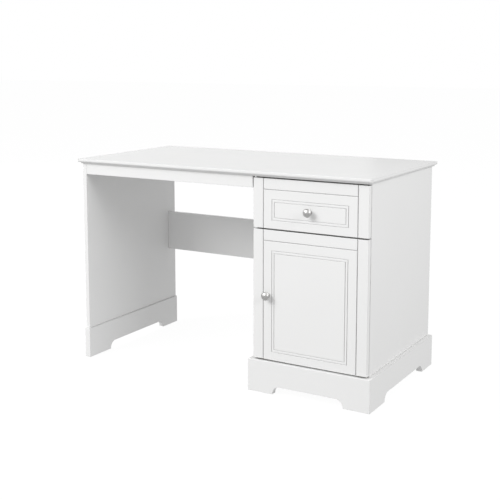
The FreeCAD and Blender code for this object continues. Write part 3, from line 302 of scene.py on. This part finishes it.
def moulded(name, light, dark, low, high):
    """Moulded plastic or rubber: fine spark-eroded grain."""
    s = Shader(name)
    s.constant(IOR=1.5)
    grain = s.noise(s.coords.outputs["Object"], scale=2600.0, detail=2.0, roughness=0.7)
    clouds = s.noise(s.coords.outputs["Object"], scale=150.0, detail=3.0)
    colour = s.mix(s.ramp(clouds, 0.3, 0.7), light, dark)
    roughness = s.ramp(grain, 0.3, 0.7, low, high)
    return s.finish(colour, roughness, s.bump(grain, distance=0.05 * MM, strength=0.7))


slot_materials = {
    "white_lacquer": satin_lacquer(),
    "white_board": melamine(),
    "white_hardboard": hardboard(),
    "raw_wood": beech(),
    "satin_nickel": satin_nickel(),
    "zinc_steel": pressed_metal("zinc_plated_steel", ZINC, ZINC_SHADE, 0.22, 0.36),
    "cam_metal": pressed_metal("die_cast_zinc", DIE_CAST, DIE_CAST_SHADE, 0.38, 0.5),
    "glide_plastic": moulded("moulded_glide_plastic", GLIDE_WHITE, GLIDE_SHADE, 0.42, 0.55),
    "bumper_rubber": moulded("soft_bumper_rubber", RUBBER, RUBBER_SHADE, 0.3, 0.42),
}


def give(piece, material):
    piece.data.materials.clear()
    piece.data.materials.append(material)


for part in frame["record"]["subparts"]:
    give(nodes[part["node"]], slot_materials[part["material_slot"]])


# ---- Floor, light and camera --------------------------------------------------------------

FLOOR_SIZE = 60.0
FLOOR_COLOUR = (0.07, 0.07, 0.07, 1.0)
FLOOR_GLOW = 0.95
BACKDROP_STRENGTH = 1.0
SKY_STRENGTH = 0.58
# Each softbox: place, what it points at, width, height (metres) and power (watts)
KEY = ((-3.3, -5.1, 4.4), (0, 0, 0.4), 4.2, 3.2, 357)
FILL = ((4.0, -1.0, 2.6), (0.6, 0, 0.6), 2.4, 1.8, 86)
RIM = ((-4.2, 5.5, 0.95), (-0.3, 0, 0.8), 4.4, 0.8, 15)
CAMERA_PLACE = (1.7567, -3.0274, 1.1569)
CAMERA_YAW = 30.38
CAMERA_PITCH = 7.51
CAMERA_LENS = 68.29
CAMERA_SHIFT = -0.14


def make_floor():
    """A white floor whose own glow doesn't light the desk; it only takes a faint shadow."""
    half = FLOOR_SIZE / 2
    corners = [(-half, -half, 0), (half, -half, 0), (half, half, 0), (-half, half, 0)]
    mesh = bpy.data.meshes.new("floor")
    mesh.from_pydata([Vector(corner) for corner in corners], [], [(0, 1, 2, 3)])
    floor = bpy.data.objects.new("floor", mesh)
    scene.collection.objects.link(floor)
    s = Shader("pale_floor")
    s.constant(Base_Color=FLOOR_COLOUR, Roughness=1.0, IOR=1.0, Emission_Color=(1.0, 1.0, 1.0, 1.0),
               Emission_Strength=FLOOR_GLOW)
    give(floor, s.material)
    floor.visible_diffuse = False
    floor.visible_glossy = False


def make_sky():
    """Even light from all round, in front of a white backdrop."""
    world = bpy.data.worlds.new("studio")
    world.use_nodes = True
    tree = world.node_tree
    seen = tree.nodes.new("ShaderNodeLightPath").outputs["Is Camera Ray"]
    strength = tree.nodes.new("ShaderNodeMapRange")
    strength.inputs["To Min"].default_value = SKY_STRENGTH
    strength.inputs["To Max"].default_value = BACKDROP_STRENGTH
    tree.links.new(seen, strength.inputs["Value"])
    background = tree.nodes["Background"]
    background.inputs["Color"].default_value = (1.0, 1.0, 1.0, 1.0)
    tree.links.new(strength.outputs["Result"], background.inputs["Strength"])
    scene.world = world


def make_softbox(name, place, target, width, height, power):
    light = bpy.data.lights.new(name, "AREA")
    light.shape = "RECTANGLE"
    light.size = width
    light.size_y = height
    light.energy = power
    lamp = bpy.data.objects.new(name, light)
    scene.collection.objects.link(lamp)
    lamp.location = place
    lamp.rotation_euler = (Vector(target) - Vector(place)).to_track_quat("-Z", "Y").to_euler()


def make_camera():
    camera = bpy.data.objects.new("camera", bpy.data.cameras.new("camera"))
    camera.data.lens = CAMERA_LENS
    camera.data.shift_y = CAMERA_SHIFT
    camera.location = CAMERA_PLACE
    camera.rotation_euler = (math.radians(90 - CAMERA_PITCH), 0, math.radians(CAMERA_YAW))
    scene.collection.objects.link(camera)
    scene.camera = camera


make_floor()
make_sky()
make_softbox("key", *KEY)
make_softbox("fill", *FILL)
make_softbox("rim", *RIM)
make_camera()
scene.view_settings.view_transform = "Standard"
